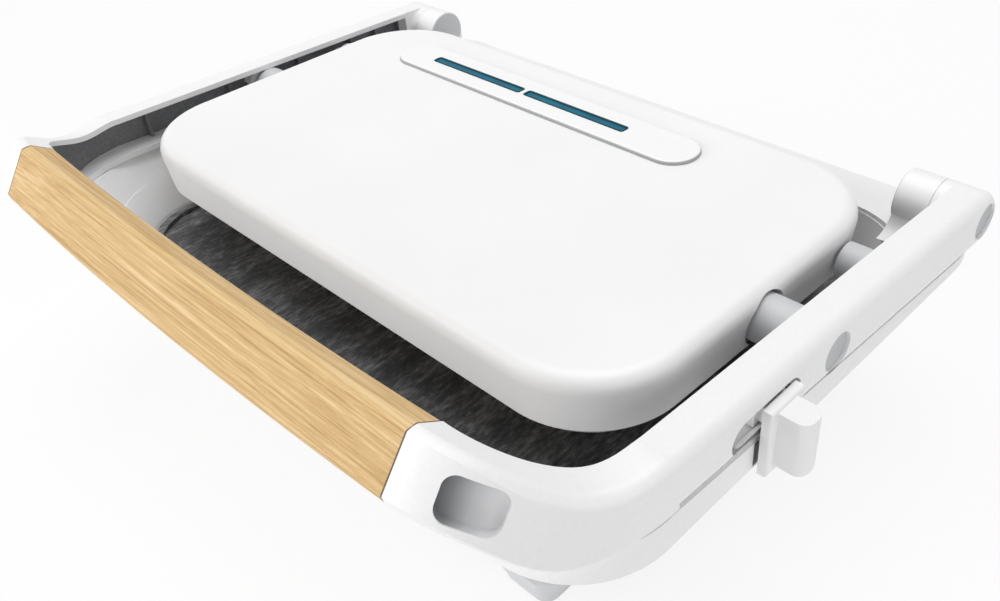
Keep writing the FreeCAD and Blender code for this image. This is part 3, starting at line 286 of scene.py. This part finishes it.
def slate_look():
    # Non-stick coating sprayed on cast aluminium to look like slate: dark grey, cloudy, with
    # grains of 1.6 mm and worn streaks that run from front to back, three times as long as wide
    made, tree, shader = new_material("slate_nonstick_coating", IOR=1.5)
    place = add(tree, "TexCoord").outputs["Object"]
    drawn = add(tree, "Mapping", place, named={"Rotation": (0, 0, 0.12), "Scale": (1.0, 0.3, 1.0)})
    cloud = add(tree, "TexNoise", drawn, named={"Scale": 60.0, "Detail": 5.0, "Roughness": 0.7})
    grain = add(tree, "TexNoise", drawn, named={"Scale": 620.0, "Detail": 3.0, "Roughness": 0.7})
    both = add(tree, "Math", cloud, grain, operation="ADD")
    share = add(tree, "MapRange", both, 0.72, 1.32, 0.0, 1.0)
    feed(tree, shader, {
        "Base Color": add(tree, "ValToRGB", share,
                          stops=((0.0, "#434446"), (0.4, "#5F6062"), (0.66, "#858687"),
                                 (1.0, "#B2B3B3"))),
        "Roughness": add(tree, "MapRange", cloud, 0.3, 0.7, 0.5, 0.66),
        "Normal": add(tree, "Bump", named={"Height": grain, "Strength": 0.3, "Distance": 0.0003}),
    })
    return made


# Half the length of the wooden bar, less 0.6 mm: the end grain starts there
END_GRAIN_FROM = 0.1244


def bamboo_look():
    # Light bamboo, glued up in strips and planed along its length: long, straight, fine lines.
    # The lines are drawn 1.2 mm apart, about twice as coarse as the real ones, to show. The
    # end grain has taken up more oil and is dark, and the top facet is lighter as painted light
    # from above
    made, tree, shader = new_material("planed_light_bamboo", IOR=1.5)
    coords = add(tree, "TexCoord")
    place = coords.outputs["Object"]
    along = add(tree, "Mapping", place, named={"Scale": (2.5, 90.0, 90.0)})
    broad = add(tree, "TexNoise", along, named={"Scale": 1.0, "Detail": 2.0, "Roughness": 0.5})
    tight = add(tree, "Mapping", place, named={"Scale": (16.0, 830.0, 830.0)})
    fine = add(tree, "TexNoise", tight, named={"Scale": 1.0, "Detail": 5.0, "Roughness": 0.75})
    tone = add(tree, "MapRange", broad, 0.3, 0.7, -0.16, 0.16)
    line = add(tree, "MapRange", fine, 0.34, 0.62, 0.0, 0.86)
    facing = add(tree, "SeparateXYZ", coords.outputs["Normal"])
    # Painted light: faces turned up are made lighter
    painted_top_light = add(tree, "MapRange", facing.outputs["Z"], 0.8, 0.93, 0.0, 0.3)
    lined = add(tree, "Math", tone, line, operation="ADD")
    both = add(tree, "Math", lined, painted_top_light, operation="ADD")
    tint = add(tree, "ValToRGB", both,
               stops=((0.05, "#B48F56"), (0.3, "#C8A268"), (0.55, "#D2AE75"), (0.95, "#E6C894")))
    split = add(tree, "SeparateXYZ", place)
    away = add(tree, "Math", split.outputs["X"], -MIDDLE_X, operation="ADD")
    away = add(tree, "Math", away, operation="ABSOLUTE")
    end = add(tree, "Math", away, END_GRAIN_FROM, operation="GREATER_THAN")
    ended = add(tree, "Mix", named={0: end, 6: tint, 7: linear("#5E4522")}, data_type="RGBA")
    feed(tree, shader, {
        "Base Color": ended.outputs[2],
        "Roughness": add(tree, "MapRange", fine, 0.3, 0.7, 0.6, 0.5),
        "Normal": add(tree, "Bump", named={"Height": fine, "Strength": 0.25, "Distance": 0.0002}),
    })
    return made


def metal_look(name, colour, shade, roughness, stretch):
    made, tree, shader = new_material(name, Metallic=1.0)
    place = add(tree, "TexCoord").outputs["Object"]
    along = add(tree, "Mapping", place, named={"Scale": stretch})
    line = add(tree, "TexNoise", along, named={"Scale": 400.0, "Detail": 3.0})
    feed(tree, shader, {
        "Base Color": add(tree, "ValToRGB", line, stops=((0.3, shade), (0.7, colour))),
        "Roughness": add(tree, "MapRange", line, 0.3, 0.7, roughness - 0.06, roughness + 0.06),
    })
    return made


# Turned stainless steel of pins and bolts: fine rings round the axis
turned_steel = metal_look("turned_stainless_steel", "#C9CBCE", "#AEB0B4", 0.3, (6.0, 1.0, 1.0))

# Heater sheath, annealed nickel alloy: dull straw-grey oxide
sheath = metal_look("oxidised_heater_sheath", "#8C857A", "#6E685F", 0.5, (1.0, 1.0, 1.0))

# Rolled aluminium sheet of reflector and shield: lines along the sheet
rolled = metal_look("rolled_aluminium_sheet", "#D5D7DA", "#BEC0C4", 0.34, (0.2, 6.0, 6.0))


def lamp_look(name, light, dark, roughness):
    # Smoked teal polycarbonate over a dark board: deep colour, small soft highlights
    made, tree, shader = new_material(name, IOR=1.45, Specular_IOR_Level=0.12)
    place = add(tree, "TexCoord").outputs["Object"]
    cloud = add(tree, "TexNoise", place, named={"Scale": 90.0, "Detail": 2.0})
    feed(tree, shader, {
        "Base Color": add(tree, "ValToRGB", cloud, stops=((0.35, dark), (0.65, light))),
        "Roughness": add(tree, "MapRange", cloud, 0.3, 0.7, roughness - 0.04, roughness + 0.04),
    })
    return made


teal = lamp_look("smoked_teal_polycarbonate", "#0A6C84", "#075C74", 0.34)
teal_rim = lamp_look("thick_teal_edge", "#06404F", "#053745", 0.4)

# What each slot of the record is finished with
finish_of_slot = {
    "white_shell": white_abs,
    "stone_coating": slate_look(),
    "light_oak": bamboo_look(),
    "foot_grey": grey_abs,
    "pad_rubber": silicone,
    "steel": turned_steel,
    "element_steel": sheath,
    "sheet_aluminium": rolled,
    "dark_plastic": nylon_black,
    "tray_grey": grey_pp,
    "lamp_teal": teal,
    "board_green": board,
}

# Nodes that are finished apart from the rest of their slot
frame_abs_with_painted_shade = frame_look_with_painted_shade()
finish_of_node = {"base_rim": rim_look(), "lamp_strip": strip_look()}
# The journals and the stop pins take the greyer nylon as painted shade
for tag in ("left", "right"):
    finish_of_node["frame_side_" + tag] = frame_abs_with_painted_shade
    finish_of_node["rocker_journal_" + tag] = nylon_painted_shade
    finish_of_node["lid_stop_pin_" + tag] = nylon_painted_shade
    finish_of_node["rocker_bolt_" + tag] = nylon_grey

for node_name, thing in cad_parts.items():
    slot_name = thing.data.materials[0].name if thing.data.materials else "white_shell"
    by_slot = finish_of_slot.get(slot_name.split(".")[0], white_abs)
    for holder in thing.material_slots:
        holder.material = finish_of_node.get(node_name, by_slot)


# Modelled pieces: each starts from a primitive and is shaped in edit mode
def pick(piece, kind, test):
    """Select in edit mode only the faces or the edges for which the test holds."""
    mesh = bmesh.from_edit_mesh(piece.data)
    for part in (mesh.verts, mesh.edges, mesh.faces):
        for item in part:
            item.select = False
    for item in getattr(mesh, kind):
        if test(item):
            item.select_set(True)
    bmesh.update_edit_mesh(piece.data)


def faces_up(face):
    return face.normal.z > 0.9


def settle(piece):
    """Place, turn and size go into the mesh, and the object stays at the origin."""
    bpy.ops.object.mode_set(mode="OBJECT")
    bpy.ops.object.transform_apply(location=True, rotation=True, scale=True)
    bpy.ops.object.shade_smooth_by_angle(angle=math.radians(32))


def hand_in(piece, finish, body):
    piece.data.materials.append(finish)
    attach(piece, body)


# The lid's top leans by this much, and the lamp bars with it
LID_LEAN = math.radians(1.9)
BAR_WIDE = 0.0054
BAR_TALL = 0.0020
BAR_CORNER = 0.0015


def lamp_bar(name, node_name):
    # A bar of smoked polycarbonate: rounded ends, a thick raised rim and a sunk, lit face
    low, high = (Vector(corner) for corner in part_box(node_name))
    bpy.ops.object.select_all(action="DESELECT")
    bpy.ops.mesh.primitive_cube_add(size=1, location=(0, 0, 0))
    bar = bpy.context.object
    bar.name = name
    bar.scale = (high.x - low.x, BAR_WIDE, BAR_TALL)
    bpy.ops.object.transform_apply(location=False, rotation=False, scale=True)
    bpy.ops.object.mode_set(mode="EDIT")
    pick(bar, "edges", lambda edge: abs(edge.verts[0].co.z - edge.verts[1].co.z) > BAR_TALL * 0.9)
    bpy.ops.mesh.bevel(offset=BAR_CORNER, segments=5, affect="EDGES")
    pick(bar, "faces", faces_up)
    for step_in, step_down in ((0.00015, 0), (0.0006, 0), (0.00025, -0.0005)):
        bpy.ops.mesh.inset(thickness=step_in, depth=step_down)
    bar.data.materials.append(teal_rim)
    bar.data.materials.append(teal)
    bar.active_material_index = 1
    bpy.ops.object.material_slot_assign()
    settle(bar)
    bar.rotation_euler = (-LID_LEAN, 0, 0)
    bar.location = (low + high) / 2
    bpy.ops.object.transform_apply(location=True, rotation=True, scale=True)
    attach(bar, "lid")
    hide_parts(node_name)


for tag in ("left", "right"):
    lamp_bar("lamp_bar_" + tag, "lamp_lens_" + tag)


def turned_piece(vertices, steps, soft_width):
    """A turned piece, upright on the origin: a disc from whose top each ring grows.

    A step is the radius of a ring, and how far it rises above the one before.
    """
    radius, thick = steps[0]
    bpy.ops.object.select_all(action="DESELECT")
    bpy.ops.mesh.primitive_cylinder_add(vertices=vertices, radius=radius, depth=thick,
                                        location=(0, 0, thick / 2))
    made = bpy.context.object
    bpy.ops.object.transform_apply(location=True, rotation=False, scale=False)
    bpy.ops.object.mode_set(mode="EDIT")
    pick(made, "faces", faces_up)
    for next_radius, rise in steps[1:]:
        bpy.ops.mesh.extrude_region_move(TRANSFORM_OT_translate={"value": (0, 0, rise)})
        if next_radius != radius:
            share = next_radius / radius
            bpy.ops.transform.resize(value=(share, share, 1), center_override=(0, 0, 0))
        radius = next_radius
    bpy.ops.object.mode_set(mode="OBJECT")
    soft = made.modifiers.new("soft_edges", "BEVEL")
    soft.width = soft_width
    soft.segments = 3
    soft.limit_method = "ANGLE"
    soft.angle_limit = math.radians(40)
    bpy.ops.object.modifier_apply(modifier="soft_edges")
    return made


def copy_along_x(source, name, place, side):
    """Copy an upright piece with its mesh, lay it to the right or the left and place it."""
    copied = source.copy()
    copied.data = source.data.copy()
    copied.name = name
    bpy.context.collection.objects.link(copied)
    bpy.ops.object.select_all(action="DESELECT")
    copied.select_set(True)
    bpy.context.view_layer.objects.active = copied
    copied.rotation_euler = (0, side * math.pi / 2, 0)
    copied.location = place
    settle(copied)
    return copied


# Hinge pin: a flat cover over the ear's inner face, whose grey is painted shade of that face, the
# shank, and a head in the arm. It reaches from the ear's inner face to the outer end of the pin of
# the solids
COVER_THICK = 0.0005
COVER_ROUND = 0.0110
SHANK_ROUND = 0.0050
HEAD_ROUND = 0.0070
HEAD_TALL = 0.0022
pin_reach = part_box("hinge_pin_right")[1][0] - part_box("ear_right")[0][0]
axle = turned_piece(64, ((COVER_ROUND, COVER_THICK), (SHANK_ROUND, 0.0),
                         (SHANK_ROUND, pin_reach - HEAD_TALL), (HEAD_ROUND, 0.0),
                         (HEAD_ROUND, HEAD_TALL)), 0.0002)

# Plug that closes a round recess of the arm, with a shallow dished face; its grey is partly its
# own and partly painted shade of the recess
PLUG_GAP = 0.0001
PLUG_ROUND = 0.00755
PLUG_THICK = 0.0007
PLUG_RIM = 0.0069
DISH_ROUND = 0.0060
DISH_DEEP = 0.0002
plug = turned_piece(48, ((PLUG_ROUND, PLUG_THICK), (PLUG_RIM, 0.0), (DISH_ROUND, -DISH_DEEP)),
                    0.0001)

for tag, side in (("left", -1), ("right", 1)):
    ear_low, ear_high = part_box("ear_" + tag)
    pin_low, pin_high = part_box("hinge_pin_" + tag)
    face_x = ear_high[0] if side < 0 else ear_low[0]
    far_x = pin_low[0] if side < 0 else pin_high[0]
    pin = copy_along_x(axle, "hinge_axle_" + tag, (face_x - side * COVER_THICK, *HUB), side)
    hand_in(pin, nylon_painted_shade, "base")
    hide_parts("hinge_pin_" + tag)
    for what, axis in (("hinge", HUB), ("rocker", ROCKER)):
        cover = copy_along_x(plug, what + "_plug_" + tag, (far_x + side * PLUG_GAP, *axis), side)
        hand_in(cover, nylon_plug_with_painted_shade, "frame")

for pattern in (axle, plug):
    bpy.data.objects.remove(pattern)

# The sloping well of the rim at its foot and at its mouth: its height, and there its width,
# depth, corner radius and middle in Y
WELL_FOOT = (0.0670, (0.2938, 0.2098, 0.0344, 0.01005))
WELL_MOUTH = (0.0978, (0.3300, 0.2230, 0.0400, 0.00405))
SKIRT_HEIGHTS = (0.0692, 0.0842)
SKIRT_GAP = 0.0005
SKIRT_WALL = 0.0008


def well_outline(height):
    share = (height - WELL_FOOT[0]) / (WELL_MOUTH[0] - WELL_FOOT[0])
    return (foot + (mouth - foot) * share for foot, mouth in zip(WELL_FOOT[1], WELL_MOUTH[1]))


def well_skirt():
    # Skirt of white ABS round the well of the rim, from near the plate's edge to the belt: two
    # rounded outlines bridged into a sloping band, with a thin wall
    bpy.ops.object.select_all(action="DESELECT")
    bpy.ops.mesh.primitive_plane_add(size=1, location=(0, 0, 0))
    skirt = bpy.context.object
    skirt.name = "well_skirt"
    bpy.ops.object.mode_set(mode="EDIT")
    for height in SKIRT_HEIGHTS:
        wide, deep, corner, middle_y = well_outline(height)
        if height != SKIRT_HEIGHTS[0]:
            bpy.ops.mesh.select_all(action="DESELECT")
            bpy.ops.mesh.primitive_plane_add(size=1, location=(0, 0, 0))
        bpy.ops.transform.resize(value=(wide - SKIRT_GAP, deep - SKIRT_GAP, 1),
                                 center_override=(0, 0, 0))
        bpy.ops.transform.translate(value=(MIDDLE_X, middle_y, height))
        bpy.ops.mesh.bevel(offset=corner, segments=14, affect="VERTICES")
    bpy.ops.mesh.select_all(action="SELECT")
    bpy.ops.mesh.delete(type="ONLY_FACE")
    bpy.ops.mesh.select_all(action="SELECT")
    bpy.ops.mesh.bridge_edge_loops()
    bpy.ops.mesh.normals_make_consistent(inside=False)
    bpy.ops.object.mode_set(mode="OBJECT")
    wall = skirt.modifiers.new("wall", "SOLIDIFY")
    wall.thickness = SKIRT_WALL
    wall.offset = 1.0
    bpy.ops.object.modifier_apply(modifier="wall")
    settle(skirt)
    hand_in(skirt, white_abs, "base")


well_skirt()


def white_rays(tree, share):
    """How much plain white is mixed in, for rays from the camera, from gloss and from glass."""
    path = add(tree, "LightPath")
    seen = add(tree, "Math", path.outputs["Is Camera Ray"], path.outputs["Is Glossy Ray"],
               operation="MAXIMUM")
    seen = add(tree, "Math", seen, path.outputs["Is Transmission Ray"], operation="MAXIMUM")
    return add(tree, "Math", seen, share, operation="MULTIPLY")


# Floor and backdrop: one pale sheet, white to the camera, that still takes the shadow
def studio_floor():
    bpy.ops.object.select_all(action="DESELECT")
    bpy.ops.mesh.primitive_plane_add(size=12.0, location=(0, 0, 0))
    floor = bpy.context.object
    floor.name = "studio_floor"
    made, tree, shader = new_material("pale_studio_floor", Roughness=0.9)
    shader.inputs["Base Color"].default_value = linear("#F4F4F4")
    glow = add(tree, "Emission", named={"Strength": 1.0})
    both = add(tree, "MixShader", white_rays(tree, 0.86), shader, glow)
    feed(tree, tree.nodes["Material Output"], {"Surface": both})
    floor.data.materials.append(made)


studio_floor()


def softbox(name, place, aim, size, power):
    light = bpy.data.lights.new(name, "AREA")
    light.shape = "RECTANGLE"
    light.size, light.size_y = size
    light.energy = power
    made = bpy.data.objects.new(name, light)
    bpy.context.collection.objects.link(made)
    made.location = place
    made.rotation_euler = (Vector(aim) - Vector(place)).to_track_quat("-Z", "Y").to_euler()


softbox("overhead_softbox", (-0.1, 0.3, 1.6), (0, 0, 0), (1.4, 1.4), 17.0)
softbox("front_left_softbox", (-0.9, -1.3, 0.7), (0, 0, 0.1), (1.0, 1.0), 12.0)
softbox("right_softbox", (1.5, -0.2, 0.6), (0, 0, 0.1), (1.0, 1.0), 5.5)
softbox("low_front_softbox", (-0.1, -1.7, 0.3), (0, 0, 0.1), (1.4, 0.5), 4.0)

# Soft white light from all round, and a plain white backdrop for the camera
world = bpy.data.worlds.new("studio_world")
bpy.context.scene.world = world
world.use_nodes = True
sky = world.node_tree
soft = sky.nodes["Background"]
soft.inputs["Color"].default_value = (1, 1, 1, 1)
soft.inputs["Strength"].default_value = 0.25
plain = add(sky, "Background", (1, 1, 1, 1), 1.0)
either = add(sky, "MixShader", white_rays(sky, 1.0), soft, plain)
feed(sky, sky.nodes["World Output"], {"Surface": either})

# Camera as the photograph was taken: 49 degrees round to the right, 38 degrees up
CAMERA_AT = (0.283111, -0.234415, 0.332818)
CAMERA_RIGHT = (0.69841, 0.71052, -0.08592)
CAMERA_AHEAD = (-0.59795, 0.51332, -0.61560)
camera_data = bpy.data.cameras.new("photo_camera")
camera_data.sensor_width = 36.0
camera_data.lens = 36.2415
camera_data.clip_start = 0.01
camera = bpy.data.objects.new("photo_camera", camera_data)
bpy.context.collection.objects.link(camera)
ahead = Vector(CAMERA_AHEAD).normalized()
up = Vector(CAMERA_RIGHT).cross(ahead).normalized()
right = ahead.cross(up).normalized()
camera.matrix_world = Matrix((
    (right.x, up.x, -ahead.x, CAMERA_AT[0]),
    (right.y, up.y, -ahead.y, CAMERA_AT[1]),
    (right.z, up.z, -ahead.z, CAMERA_AT[2]),
    (0, 0, 0, 1)))
bpy.context.scene.camera = camera

bpy.context.scene.view_settings.view_transform = "Standard"
